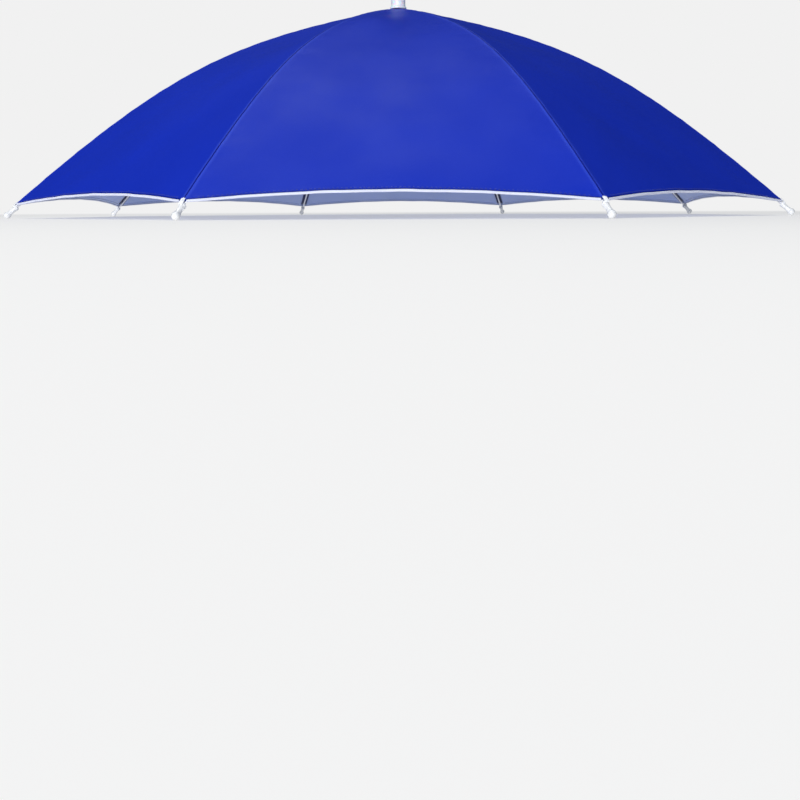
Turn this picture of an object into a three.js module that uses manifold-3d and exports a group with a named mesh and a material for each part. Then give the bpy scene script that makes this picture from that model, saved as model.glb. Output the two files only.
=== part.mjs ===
// An umbrella hat: a folding sun and rain hat with an eight-rib canopy and an elastic headband.
// Millimetres, +Z up. The origin is on the surface that the hat stands on, straight below the crown.
// The front panel faces -Y. The hat is open, and stands on the balls at the ends of its rib tips.

import * as THREE from "three";
import { mergeVertices } from "three/addons/utils/BufferGeometryUtils.js";
import Module from "manifold-3d";

const wasm = await Module();
wasm.setup();

// Canopy, measured on its outer face
const ribCount = 8;
const canopyRadius = 345; // from the axis to a fabric corner
const canopyHeight = 178; // from the fabric corners up to the crown
const clothThickness = 1.0;
const hemScallop = 7.5; // how far the middle of a hem lies back from the corners
const crownHoleRadius = 4.0;
const edgingRadius = 0.9;
const edgingEndGap = 3.2; // from the end of a hem's edging to the seam

// A rib is two straight runs joined by one soft bend. These are shares of the canopy radius,
// and bendStrength says how much steeper the outer run is than the mean.
const bendPlace = 0.564;
const bendSoftness = 0.376;
const bendStrength = 0.703;

// How high the cloth stands over a flat panel, as a share of the canopy height.
// along is a share of the canopy radius, and across runs from -1 to 1 between a panel's seams.
// reach and spread are how far the fold goes each way.
const folds = [
  { panel: "all", along: 0.4, reach: 0.35, across: 0, spread: 1, height: -0.014 },
  { panel: 1, along: 0.34, reach: 0.16, across: 0.55, spread: 0.45, height: 0.022 },
  { panel: 8, along: 0.42, reach: 0.16, across: -0.6, spread: 0.4, height: -0.016 },
];

// Clearances
const seamGap = 0.3; // between two neighbouring panels
const seatGap = 0.3; // between a piece and what it sits on or in
const ribGap = 0.5; // between a rib and the cloth over it

// Ribs and their tips. Lengths along a tip are from the fabric corner.
const ribRadius = 0.9;
const sleeveWall = 0.8;
const sleeveStart = 0.8;
const sleeveEnd = 5.0;
const tipNeckRadius = 1.65;
const tipBallRadius = 2.8;
const tipReach = 11.5; // to the middle of the ball

// Crown hub, ferrule and runner
const hubRadius = 14.0;
const hubHeight = 10.0;
const slotDepth = 6.0;
const slotWidth = 2.4;
const socketRadius = 5.3; // the hole in the hub that takes the runner's post
const socketDepth = 7.0;
const studRadius = 3.0;
const studHeight = 12.0;
const ferruleRadius = 6.8;
const ferruleTopRadius = 5.2;
const ferruleHeight = 28.0;
const padDrop = 54.0; // from the crown down to the pad that rests on the head
const padRadius = 24.0;
const padThickness = 4.0;
const padEdge = 1.5; // chamfer of the pad's rim
const flangeHeight = 7.0;
const flangeRise = 3.0; // from the pad up to the flange
const postRadius = 6.5;

// Stretchers
const stretcherRadius = 0.9;
const clevisRadius = 120.0; // how far from the axis a stretcher meets its rib
const clevisLength = 9.0;
const clevisWall = 1.2;
const clevisDrop = 4.0; // how far a clevis reaches below the middle of the rib

// Headband and the straps that hang it from the stretchers
const bandInsideWidth = 156.0; // across the head
const bandInsideLength = 196.0; // front to back
const bandThickness = 2.0;
const bandHeight = 30.0;
const bandBottom = 48.0; // above the surface that the hat stands on
const strapWidth = 10.0;
const strapThickness = 1.2;
const strapSetback = 7.5; // from a clevis back to the strap's loop on the stretcher
const strapLap = 14.0; // how much of the band's height a strap is sewn over

// How finely the curved pieces are cut into flat faces
const panelRows = 12;
const panelColumns = 10;
const ribSteps = 10;
const strapSteps = 6;
const wireSides = 8;
const edgingSides = 6;
const tipSides = 8;
const hubSides = 24;
const bandSteps = 24;
const ballSteps = 4;

// Derived sizes
const ribStep = (2 * Math.PI) / ribCount;
const halfPanel = ribStep / 2;
const ribDepth = clothThickness + ribGap + ribRadius; // from the cloth's outer face to the rib's line
const boreRadius = ribRadius + seatGap;
const sleeveRadius = boreRadius + sleeveWall;
const ribEnd = canopyRadius + sleeveEnd - sleeveWall - seatGap;
// How far from the axis a strap loops round its stretcher
const strapRadius = clevisRadius - clevisLength / 2 - strapSetback - strapWidth / 2;

function look(color, roughness, metalness = 0) {
  return new THREE.MeshStandardMaterial({ color, roughness, metalness });
}
const nylon = look(0x2344b8, 0.5);
const whiteTape = look(0xf2f3f6, 0.7);
const steel = look(0xd9dbe0, 0.35, 0.8);
const plastic = look(0xf3f4f6, 0.4);
const elastic = look(0xe6e6e8, 0.9);

// The rib's profile: its height over the fabric corners and its downward angle, at a radius
function bendLength(share) {
  return Math.hypot(share - bendPlace, bendSoftness);
}

function bendRun(share) {
  return share + bendStrength * (bendLength(share) - bendLength(0));
}

function ribRise(radius) {
  return canopyHeight * (1 - bendRun(radius / canopyRadius) / bendRun(1));
}

function ribAngle(radius) {
  const share = Math.min(radius / canopyRadius, 1);
  const turn = 1 + (bendStrength * (share - bendPlace)) / bendLength(share);
  return Math.atan(((canopyHeight / canopyRadius) * turn) / bendRun(1));
}

// The tips are straight, so the height of the fabric corners over the floor follows from them.
const endAngle = ribAngle(canopyRadius);
const cornerHeight =
  ribDepth * Math.cos(endAngle) + tipReach * Math.sin(endAngle) + tipBallRadius;

// A point under the cloth's outer face at a radius on a rib, with its depth square to the face.
// Past the fabric corner the line runs straight on. In the point x is the radius and y the height.
function ribPoint(radius, depth = 0) {
  const onCloth = Math.min(radius, canopyRadius);
  const past = radius - onCloth;
  const angle = ribAngle(radius);
  return new THREE.Vector2(
    onCloth + past * Math.cos(angle) - depth * Math.sin(angle),
    cornerHeight + ribRise(onCloth) - past * Math.sin(angle) - depth * Math.cos(angle),
  );
}

// Heights of the parts round the axis, from the crown downwards
const crownHeight = cornerHeight + canopyHeight;
const hubTop = ribPoint(hubRadius / Math.cos(halfPanel), clothThickness).y - seatGap;
const hubBottom = hubTop - hubHeight;
const padBottom = crownHeight - padDrop;
const padTop = padBottom + padThickness;
const flangeBottom = padTop + flangeRise;
const flangeTop = flangeBottom + flangeHeight;
const postTop = hubBottom - seatGap;

// Where a stretcher starts and ends, and its line between the two
const clevisPoint = ribPoint(clevisRadius, ribDepth);
const stretcherStart = new THREE.Vector2(
  hubRadius - slotDepth + stretcherRadius,
  (flangeBottom + flangeTop) / 2,
);
const stretcherEnd = new THREE.Vector2(
  clevisPoint.x,
  clevisPoint.y - clevisDrop + stretcherRadius,
);
const stretcherAngle = -stretcherEnd.clone().sub(stretcherStart).angle();

function stretcherPoint(radius) {
  const share = (radius - stretcherStart.x) / (stretcherEnd.x - stretcherStart.x);
  return stretcherStart.clone().lerp(stretcherEnd, share);
}

// A smooth bump, 1 at its middle and 0 outside its reach
function bump(distance, reach) {
  return Math.abs(distance) < reach ? Math.cos((Math.PI * distance) / (2 * reach)) ** 2 : 0;
}

// Height of a panel's cloth over the flat between its ribs, which is nothing at the seams
function foldHeight(panel, radius, across) {
  return folds
    .filter((fold) => fold.panel === "all" || fold.panel === panel)
    .map((fold) => {
      const along = bump(radius / canopyRadius - fold.along, fold.reach);
      return fold.height * along * bump(across - fold.across, 2 * fold.spread);
    })
    .reduce((sum, height) => sum + height * canopyHeight * (1 - across ** 2), 0);
}

// A point of a panel: along runs from the crown hole to the hem, and across from seam to seam.
// The panel's middle line lies in the YZ plane, towards +Y.
function panelPoint(panel, along, across, depth, pastHem = 0) {
  const hemRadius = canopyRadius - hemScallop * (1 - across ** 2) + pastHem;
  const radius = THREE.MathUtils.lerp(crownHoleRadius, hemRadius, along);
  const point = ribPoint(radius, depth);
  return new THREE.Vector3(
    across * point.x * Math.sin(halfPanel),
    point.x * Math.cos(halfPanel) + seamGap / 2 / Math.sin(halfPanel),
    point.y + foldHeight(panel, radius, across),
  );
}

// A closed sheet between an outer and an inner face, each a function of along and across
function sheetGeometry(rows, columns, outer, inner) {
  const positions = [];
  for (const face of [outer, inner]) {
    for (let i = 0; i <= rows; i++) {
      for (let j = 0; j <= columns; j++) {
        positions.push(...face(i / rows, (2 * j) / columns - 1));
      }
    }
  }
  const at = (side, i, j) => (side * (rows + 1) + i) * (columns + 1) + j;
  const index = [];
  const quad = (a, b, c, d) => index.push(a, b, c, a, c, d);
  for (let i = 0; i < rows; i++) {
    for (let j = 0; j < columns; j++) {
      quad(at(0, i, j), at(0, i, j + 1), at(0, i + 1, j + 1), at(0, i + 1, j));
      quad(at(1, i, j), at(1, i + 1, j), at(1, i + 1, j + 1), at(1, i, j + 1));
    }
    quad(at(0, i, 0), at(0, i + 1, 0), at(1, i + 1, 0), at(1, i, 0));
    quad(at(0, i + 1, columns), at(0, i, columns), at(1, i, columns), at(1, i + 1, columns));
  }
  for (let j = 0; j < columns; j++) {
    quad(at(0, 0, j + 1), at(0, 0, j), at(1, 0, j), at(1, 0, j + 1));
    quad(at(0, rows, j), at(0, rows, j + 1), at(1, rows, j + 1), at(1, rows, j));
  }
  return new THREE.BufferGeometry()
    .setAttribute("position", new THREE.Float32BufferAttribute(positions, 3))
    .setIndex(index);
}

// A round bar along a curve
function barGeometry(curve, radius, sides, steps) {
  const section = new THREE.Shape();
  for (let k = 0; k < sides; k++) {
    const angle = (2 * Math.PI * (k + 0.5)) / sides;
    const point = [radius * Math.cos(angle), radius * Math.sin(angle)];
    if (k === 0) section.moveTo(...point);
    else section.lineTo(...point);
  }
  section.closePath();
  return new THREE.ExtrudeGeometry(section, { steps, extrudePath: curve });
}

// A curve through the points that a function gives for t from 0 to 1
class FunctionCurve extends THREE.Curve {
  constructor(pointAt) {
    super();
    this.pointAt = pointAt;
  }

  getPoint(t, target = new THREE.Vector3()) {
    return target.copy(this.pointAt(t));
  }
}

// A piece turned on the Z axis. Its profile is pairs of radius and height, upwards on the outside.
function turnedGeometry(profile, sides) {
  const points = profile.map(([radius, height]) => new THREE.Vector2(radius, height));
  return new THREE.LatheGeometry(points, sides).rotateX(Math.PI / 2);
}

// Profile points of a round end, from an angle over its equator up to its pole on the axis
function roundEnd(radius, rise, equator, startAngle = 0) {
  const points = [];
  for (let k = 0; k < ballSteps; k++) {
    const angle = THREE.MathUtils.lerp(startAngle, Math.PI / 2, k / ballSteps);
    points.push([radius * Math.cos(angle), equator + rise * Math.sin(angle)]);
  }
  return [...points, [0, equator + rise]];
}

// A geometry as a solid for cuts and joins, and a solid as a geometry again
function toSolid(geometry) {
  const bare = geometry.clone();
  bare.deleteAttribute("normal");
  bare.deleteAttribute("uv");
  const merged = mergeVertices(bare, 1e-4);
  return new wasm.Manifold(
    new wasm.Mesh({
      numProp: 3,
      vertProperties: new Float32Array(merged.attributes.position.array),
      triVerts: new Uint32Array(merged.index.array),
    }),
  );
}

function toGeometry(solid) {
  const { vertProperties, triVerts } = solid.getMesh();
  return new THREE.BufferGeometry()
    .setAttribute("position", new THREE.BufferAttribute(new Float32Array(vertProperties), 3))
    .setIndex(new THREE.BufferAttribute(new Uint32Array(triVerts), 1));
}

function named(name, geometry, material) {
  const mesh = new THREE.Mesh(geometry, material);
  mesh.name = name;
  return mesh;
}

function panelGeometry(panel) {
  return sheetGeometry(
    panelRows,
    panelColumns,
    (along, across) => panelPoint(panel, along, across, 0),
    (along, across) => panelPoint(panel, along, across, clothThickness),
  );
}

// The white edging of a hem: a cord just past the cloth's edge, short of the tips at both ends
function edgingGeometry(panel) {
  const halfWidth = canopyRadius * Math.sin(halfPanel);
  const most = 1 - edgingEndGap / halfWidth;
  const past = seatGap + edgingRadius;
  const line = new FunctionCurve((t) =>
    panelPoint(panel, 1, most * (2 * t - 1), clothThickness / 2, past),
  );
  return barGeometry(line, edgingRadius, edgingSides, panelColumns);
}

// Ribs, tips, stretchers and straps are made in the XZ plane, with the rib pointing to +X.
function ribGeometry() {
  const start = hubRadius - slotDepth + seatGap + ribRadius;
  const line = new FunctionCurve((t) => {
    const point = ribPoint(THREE.MathUtils.lerp(start, ribEnd, t), ribDepth);
    return new THREE.Vector3(point.x, 0, point.y);
  });
  return barGeometry(line, ribRadius, wireSides, ribSteps);
}

// A rib tip: a sleeve that the rib's end sits in, then a neck and a ball
function tipGeometry() {
  const boreEnd = sleeveEnd - sleeveWall;
  const neckStart = sleeveEnd + sleeveRadius - tipNeckRadius;
  const ballStart = -Math.acos(tipNeckRadius / tipBallRadius);
  const corner = ribPoint(canopyRadius, ribDepth);
  return turnedGeometry(
    [
      [0, boreEnd],
      [boreRadius, boreEnd],
      [boreRadius, sleeveStart],
      [sleeveRadius, sleeveStart],
      [sleeveRadius, sleeveEnd],
      [tipNeckRadius, neckStart],
      ...roundEnd(tipBallRadius, tipBallRadius, tipReach, ballStart),
    ],
    tipSides,
  )
    .rotateY(Math.PI / 2 + endAngle)
    .translate(corner.x, 0, corner.y);
}

// Cuts a slot for each rib or stretcher into a round flange, open outwards and through its height
function cutSlots(solid, bottom, top) {
  const height = top - bottom + 2 * seatGap;
  let cut = solid;
  for (let k = 0; k < ribCount; k++) {
    const slot = new THREE.BoxGeometry(2 * slotDepth, slotWidth, height)
      .translate(hubRadius, 0, (top + bottom) / 2)
      .rotateZ((k + 0.5) * ribStep);
    cut = cut.subtract(toSolid(slot));
  }
  return cut;
}

// The crown hub: a slotted wheel for the ribs, a socket below and a stud for the ferrule above
function hubGeometry() {
  const studTop = hubTop + studHeight;
  const body = turnedGeometry(
    [
      [0, hubBottom + socketDepth],
      [socketRadius, hubBottom + socketDepth],
      [socketRadius, hubBottom],
      [hubRadius, hubBottom],
      [hubRadius, hubTop],
      [studRadius, hubTop],
      [studRadius, studTop],
      [0, studTop],
    ],
    hubSides,
  );
  return toGeometry(cutSlots(toSolid(body), hubBottom, hubTop));
}

function ferruleGeometry() {
  const bottom = ribPoint(crownHoleRadius).y + seatGap;
  const bore = studRadius + seatGap;
  const boreEnd = hubTop + studHeight + seatGap;
  const domeRise = ferruleTopRadius / 2;
  return turnedGeometry(
    [
      [0, boreEnd],
      [bore, boreEnd],
      [bore, bottom],
      [ferruleRadius, bottom],
      ...roundEnd(ferruleTopRadius, domeRise, bottom + ferruleHeight - domeRise),
    ],
    hubSides,
  );
}

// The runner: a pad for the head, a slotted flange for the stretchers and a post up into the hub
function runnerGeometry() {
  const spigotRadius = socketRadius - seatGap;
  const spigotTop = hubBottom + socketDepth - seatGap;
  const body = turnedGeometry(
    [
      [0, padBottom],
      [padRadius - padEdge, padBottom],
      [padRadius, padBottom + padEdge],
      [padRadius, padTop - padEdge],
      [padRadius - padEdge, padTop],
      [postRadius, padTop],
      [postRadius, flangeBottom],
      [hubRadius, flangeBottom],
      [hubRadius, flangeTop],
      [postRadius, flangeTop],
      [postRadius, postTop],
      [spigotRadius, postTop],
      [spigotRadius, spigotTop],
      [0, spigotTop],
    ],
    hubSides,
  );
  return toGeometry(cutSlots(toSolid(body), flangeBottom, flangeTop));
}

// A stretcher: a straight bar from the runner to a clevis that straddles the rib from below
function stretcherGeometry() {
  const bar = barGeometry(
    new THREE.LineCurve3(
      new THREE.Vector3(stretcherStart.x, 0, stretcherStart.y),
      new THREE.Vector3(stretcherEnd.x, 0, stretcherEnd.y),
    ),
    stretcherRadius,
    wireSides,
    1,
  );
  const onRib = (geometry) =>
    toSolid(
      geometry.rotateY(ribAngle(clevisRadius)).translate(clevisPoint.x, 0, clevisPoint.y),
    );
  const block = new THREE.BoxGeometry(clevisLength, 2 * (boreRadius + clevisWall), clevisDrop);
  const slot = new THREE.BoxGeometry(2 * clevisLength, 2 * boreRadius, 2 * boreRadius);
  return toGeometry(
    toSolid(bar)
      .add(onRib(block.translate(0, 0, -clevisDrop / 2)))
      .subtract(onRib(slot)),
  );
}

// The headband: an upright oval ring, long from front to back
function bandGeometry() {
  const halfWidth = bandInsideWidth / 2;
  const halfLength = bandInsideLength / 2;
  const fullTurn = 2 * Math.PI;
  const ring = new THREE.Shape();
  ring.absellipse(0, 0, halfWidth + bandThickness, halfLength + bandThickness, 0, fullTurn);
  ring.holes.push(new THREE.Path().absellipse(0, 0, halfWidth, halfLength, 0, fullTurn));
  return new THREE.ExtrudeGeometry(ring, {
    depth: bandHeight,
    curveSegments: bandSteps,
    bevelEnabled: false,
  }).translate(0, 0, bandBottom);
}

// Where the ray at an azimuth leaves the headband's outside, and how far the band's own outward
// direction there leans away from that ray
function bandOutside(azimuth) {
  const halfWidth = bandInsideWidth / 2 + bandThickness;
  const halfLength = bandInsideLength / 2 + bandThickness;
  const ray = new THREE.Vector2(Math.cos(azimuth), Math.sin(azimuth));
  const reach = 1 / Math.hypot(ray.x / halfWidth, ray.y / halfLength);
  const outward = new THREE.Vector2(ray.x / halfWidth ** 2, ray.y / halfLength ** 2);
  return { reach, lean: outward.angle() - ray.angle() };
}

// A strap: a loop round the stretcher, and a tape that turns flat against the band's outside
function strapGeometry(azimuth) {
  const { reach, lean } = bandOutside(azimuth);
  const off = seatGap + strapThickness / 2;
  const bandTop = bandBottom + bandHeight;
  const foot = new THREE.Vector3(reach + off * Math.cos(lean), off * Math.sin(lean), bandTop);
  const bar = stretcherPoint(strapRadius);
  const high = new THREE.Vector3(bar.x, 0, bar.y - boreRadius - sleeveWall / 2);
  const lapShare = 1 / strapSteps;
  const tapeFace = (side) => (along, across) => {
    const lap = Math.min(along / lapShare, 1);
    const rise = Math.max((along - lapShare) / (1 - lapShare), 0);
    const turn = (1 - THREE.MathUtils.smoothstep(rise, 0, 1)) * (Math.PI / 2 + lean);
    const widthways = new THREE.Vector3(Math.cos(turn), Math.sin(turn), 0);
    const thickways = new THREE.Vector3(Math.sin(turn), -Math.cos(turn), 0);
    return foot
      .clone()
      .lerp(high, rise)
      .add(new THREE.Vector3(0, 0, -strapLap * (1 - lap)))
      .addScaledVector(widthways, (across * strapWidth) / 2)
      .addScaledVector(thickways, (side * strapThickness) / 2);
  };
  const tape = sheetGeometry(strapSteps, 1, tapeFace(1), tapeFace(-1));
  const roundBar = (radius, length) =>
    toSolid(
      new THREE.CylinderGeometry(radius, radius, length, wireSides)
        .rotateZ(-Math.PI / 2)
        .rotateY(stretcherAngle)
        .translate(bar.x, 0, bar.y),
    );
  return toGeometry(
    toSolid(tape)
      .add(roundBar(boreRadius + sleeveWall, strapWidth))
      .subtract(roundBar(boreRadius, 2 * strapWidth)),
  );
}

const hat = new THREE.Group();
hat.name = "umbrella_hat";
hat.add(
  named("crown_hub", hubGeometry(), plastic),
  named("ferrule", ferruleGeometry(), plastic),
  named("runner", runnerGeometry(), plastic),
  named("headband", bandGeometry(), elastic),
);

// Panel 1 is the front one, and the numbers run anticlockwise as seen from above.
for (let k = 0; k < ribCount; k++) {
  const number = k + 1;
  const panel = new THREE.Group();
  panel.rotation.z = Math.PI + k * ribStep;
  panel.add(
    named(`canopy_panel_${number}`, panelGeometry(number), nylon),
    named(`hem_edging_${number}`, edgingGeometry(number), whiteTape),
  );
  const rib = new THREE.Group();
  rib.rotation.z = -Math.PI / 2 + (k + 0.5) * ribStep;
  rib.add(
    named(`rib_${number}`, ribGeometry(), steel),
    named(`rib_tip_${number}`, tipGeometry(), plastic),
    named(`stretcher_${number}`, stretcherGeometry(), steel),
    named(`band_strap_${number}`, strapGeometry(rib.rotation.z), elastic),
  );
  hat.add(panel, rib);
}

export default hat;
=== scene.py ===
"""The looks of the umbrella hat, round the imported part. Metres, +Z up, the front towards -Y."""

import math

import bmesh
import bpy
import numpy as np
from mathutils import Matrix, Vector


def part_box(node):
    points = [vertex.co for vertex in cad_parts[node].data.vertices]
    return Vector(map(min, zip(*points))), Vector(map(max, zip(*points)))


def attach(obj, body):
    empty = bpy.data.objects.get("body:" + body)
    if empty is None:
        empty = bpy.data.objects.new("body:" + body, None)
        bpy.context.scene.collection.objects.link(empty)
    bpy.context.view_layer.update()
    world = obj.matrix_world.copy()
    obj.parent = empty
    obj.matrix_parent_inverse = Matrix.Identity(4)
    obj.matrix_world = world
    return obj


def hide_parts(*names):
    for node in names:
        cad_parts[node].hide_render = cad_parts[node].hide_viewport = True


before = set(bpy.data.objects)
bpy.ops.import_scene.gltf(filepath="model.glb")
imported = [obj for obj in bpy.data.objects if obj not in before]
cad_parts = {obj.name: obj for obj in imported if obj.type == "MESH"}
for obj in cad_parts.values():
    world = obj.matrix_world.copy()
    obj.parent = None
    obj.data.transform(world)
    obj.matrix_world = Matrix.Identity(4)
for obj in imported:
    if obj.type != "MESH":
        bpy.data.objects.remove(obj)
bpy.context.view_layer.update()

MM = 0.001

# Canopy, as in the part's source
PANELS = 8
CANOPY_RADIUS = 345 * MM
CANOPY_HEIGHT = 178 * MM
HEM_SCALLOP = 7.5 * MM
CROWN_HOLE_RADIUS = 4 * MM
BEND_PLACE = 0.564
BEND_SOFTNESS = 0.376
BEND_STRENGTH = 0.703
FOLDS = [
    {"panel": "all", "along": 0.4, "reach": 0.35, "across": 0, "spread": 1, "height": -0.014},
    {"panel": 1, "along": 0.34, "reach": 0.16, "across": 0.55, "spread": 0.45, "height": 0.022},
    {"panel": 8, "along": 0.42, "reach": 0.16, "across": -0.6, "spread": 0.4, "height": -0.016},
]

# Ribs, tips, stretchers and straps, as in the part's source
RIB_RADIUS = 0.9 * MM
RIB_DEPTH = 2.4 * MM  # from the cloth's outer face to the rib's line
RIB_START = 9.2 * MM
RIB_END = 348.9 * MM
SLEEVE_RADIUS = 2.0 * MM
BORE_RADIUS = 1.2 * MM
TIP_BALL_RADIUS = 2.8 * MM
TIP_REACH = 11.5 * MM
STRETCHER_RADIUS = 0.9 * MM
STRETCHER_START = 8.9 * MM
CLEVIS_RADIUS = 120 * MM
CLEVIS_LENGTH = 9 * MM
CLEVIS_WALL = 1.2 * MM
CLEVIS_DROP = 4 * MM
STRAP_WIDTH = 10 * MM
STRAP_RADIUS = 103 * MM
STRAP_LAP = 14 * MM
FLANGE_ABOVE_PAD = (4 + 3 + 3.5) * MM  # from the runner's underside to its flange's middle

# The cloth as it is shown
CLOTH_THICKNESS = 0.45 * MM
HEM_IN_BINDING = 0.7 * MM  # how far the cloth runs on into its binding
HEM_FOLD = 3.4 * MM  # width of the turned-up hem
SEAM_STRIP_WIDTH = 7.5 * MM
BINDING_GAP = 3.2 * MM  # from a fabric corner to the end of the binding
STITCH_GAP = 2.3 * MM  # from the hem up to its row of stitches
STITCH_PITCH = 2.9 * MM
STITCH_LENGTH = 2.0 * MM
STITCH_RADIUS = 0.16 * MM
STRAP_THICKNESS = 1.0 * MM
EASED_EDGE = 0.35 * MM
WEAVE_PITCH = 0.55 * MM
SLANT = 1.13  # length of cloth for a length of radius, which spaces its weave

# The grid of a panel: columns from a seam inwards, and rows from the hem upwards
SEAM_COLUMNS = np.array([0, 0.28, 0.55, 0.85, 1.3, 2.0, 3.2, 5.0, 7.5]) * MM
MIDDLE_COLUMNS = 34
HEM_ROWS = np.array([8, 6.0, 4.6, 3.8, 3.3, 2.9, 2.6, 2.3, 2.0, 1.7, 1.3, 0.7, 0]) * MM
MAIN_ROWS = 88

# Creases of the cloth, with the length, the height and the reach of each
SEAM_SWELL = {"height": 0.26 * MM, "reach": 3.4 * MM}
SEAM_GROOVE = {"height": -0.62 * MM, "reach": 0.5 * MM}
STITCH_GROOVE = {"height": -0.16 * MM, "reach": 0.45 * MM}
NARROW = 12 * MM  # half of a panel's width, under which the creases at its seams fade
SEAM_PUCKERS = [
    {"length": 9 * MM, "height": 0.10 * MM},
    {"length": 14 * MM, "height": 0.12 * MM},
    {"length": 23 * MM, "height": 0.16 * MM},
]
PUCKER_START = 1.2 * MM
PUCKER_REACH = 11 * MM
HEM_WAVES = [
    {"length": 26 * MM, "height": 0.08 * MM},
    {"length": 47 * MM, "height": 0.14 * MM},
]
HEM_WAVE_REACH = 20 * MM
HEM_STEP_HEIGHT = 0.14 * MM
HEM_STEP_WIDTH = 0.8 * MM
SWELLS = [
    {"length": 150 * MM, "height": 0.9 * MM},
    {"length": 85 * MM, "height": 0.5 * MM},
    {"length": 48 * MM, "height": 0.22 * MM},
]
SWELL_STRETCH = 1.7  # how much longer a swell is one way than the other
CORNER_RAYS = 5.0
CORNER_RAY_HEIGHT = 0.28 * MM
CORNER_RAY_REACH = 42 * MM
CROWN_PLEATS = 5
CROWN_PLEAT_HEIGHT = 0.25 * MM
CROWN_PLEAT_REACH = 26 * MM
CROWN_PLEAT_RISE = 10 * MM

# The studio. The floor is a lit table, so that light also comes from below, as in the photo.
FLOOR_GLOW = 0.38
FLOOR_COLOR = (0.63, 0.615, 0.59)
FLOOR_REACH = 14.0
FLOOR_FADE = (0.55, 1.6)
AMBIENT = 0.12
AMBIENT_COLOR = (0.45, 0.68, 1.0, 1.0)
BACKDROP = 0.88
WHITE = (1.0, 1.0, 1.0, 1.0)
LAMPS = [
    {"name": "key", "place": (-0.76, -2.52, 0.75), "power": 67},
    {"name": "top", "place": (-0.3, 0.42, 2.6), "power": 25},
]
LAMP_SIZE = 1.6
LAMP_TARGET = (0, 0, 0.08)

# The photo's camera: its distance from the crown's axis and its focal length, for a frame 800 wide
CAMERA_DISTANCE = 0.88
CAMERA_HEIGHT = 6 * MM
CAMERA_TURN = math.radians(0.64)
FOCAL_PIXELS = 878
FRAME_PIXELS = 800
SENSOR = 36.0
PITCH = math.radians(12.23)
ROLL = math.radians(-0.26)

ROOT = "root"
STEP = 2 * math.pi / PANELS
HALF = STEP / 2
FRONT = -math.pi / 2
HEM_HALF_WIDTH = CANOPY_RADIUS * math.sin(HALF)
BOUND = 1 - BINDING_GAP / HEM_HALF_WIDTH  # the binding's end, as a place across a panel


def bend_length(share):
    """Part of the soft bend in the canopy's profile."""
    return np.hypot(share - BEND_PLACE, BEND_SOFTNESS)


def bend_run(share):
    """How far the profile has fallen, before it is scaled to the canopy's height."""
    return share + BEND_STRENGTH * (bend_length(share) - bend_length(0.0))


def rib_rise(radius):
    """Height of the canopy's profile over the fabric corners."""
    return CANOPY_HEIGHT * (1 - bend_run(radius / CANOPY_RADIUS) / bend_run(1.0))


def rib_angle(radius):
    """Downward angle of the canopy's profile."""
    share = np.minimum(radius / CANOPY_RADIUS, 1.0)
    turn = 1 + BEND_STRENGTH * (share - BEND_PLACE) / bend_length(share)
    return np.arctan(CANOPY_HEIGHT / CANOPY_RADIUS * turn / bend_run(1.0))


END_ANGLE = float(rib_angle(CANOPY_RADIUS))
CORNER_HEIGHT = (
    RIB_DEPTH * math.cos(END_ANGLE) + TIP_REACH * math.sin(END_ANGLE) + TIP_BALL_RADIUS
)


def rib_point(radius, depth=0.0):
    """Distance from the axis and height of a point under the cloth's outer face, above a rib."""
    on_cloth = np.minimum(radius, CANOPY_RADIUS)
    past = radius - on_cloth
    angle = rib_angle(radius)
    out = on_cloth + past * np.cos(angle) - depth * np.sin(angle)
    up = CORNER_HEIGHT + rib_rise(on_cloth) - past * np.sin(angle) - depth * np.cos(angle)
    return out, up


def bump(distance, reach):
    """1 in the middle and 0 outside its reach."""
    inside = np.abs(distance) < reach
    return np.where(inside, np.cos(np.pi * distance / (2 * reach)) ** 2, 0.0)


def fold_height(panel, radius, across):
    """Height that the large folds add to a panel."""
    total = np.zeros(np.broadcast(radius, across).shape)
    for fold in FOLDS:
        if fold["panel"] in ("all", panel):
            along = bump(radius / CANOPY_RADIUS - fold["along"], fold["reach"])
            side = bump(across - fold["across"], 2 * fold["spread"])
            total += fold["height"] * CANOPY_HEIGHT * along * side * (1 - across**2)
    return total


def turned(points, angle):
    """Points turned about the Z axis."""
    c, s = math.cos(angle), math.sin(angle)
    return points @ np.array([[c, s, 0], [-s, c, 0], [0, 0, 1.0]])


def hem_radius(across):
    """Radius of the hem, which is drawn in between two ribs."""
    return CANOPY_RADIUS - HEM_SCALLOP * (1 - across**2)


def hem_distance(radius, across):
    """Distance from the hem up the cloth."""
    return (hem_radius(across) - radius) / math.cos(END_ANGLE)


def panel_points(panel, radius, across, depth):
    """Points of a panel, from a radius and a place between its seams, which are at -1 and 1."""
    out, up = rib_point(radius, depth)
    up = up + fold_height(panel, radius, across)
    local = np.stack(
        [across * out * math.sin(HALF), out * math.cos(HALF) + 0 * across, up + 0 * across], -1
    )
    return turned(local, math.pi + (panel - 1) * STEP)


def rib_azimuth(number):
    return FRONT + (number - 0.5) * STEP


def smoothstep(value):
    """Rises softly from 0 to 1."""
    t = np.clip(value, 0, 1)
    return t * t * (3 - 2 * t)


def placed(points, place):
    """Points moved by a matrix."""
    place = np.array(place)
    return np.asarray(points, float) @ place[:3, :3].T + place[:3, 3]


def both_faces(outer, inner):
    """The points of a sheet's two faces, one after the other."""
    return np.concatenate([np.reshape(outer, (-1, 3)), np.reshape(inner, (-1, 3))])


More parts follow.
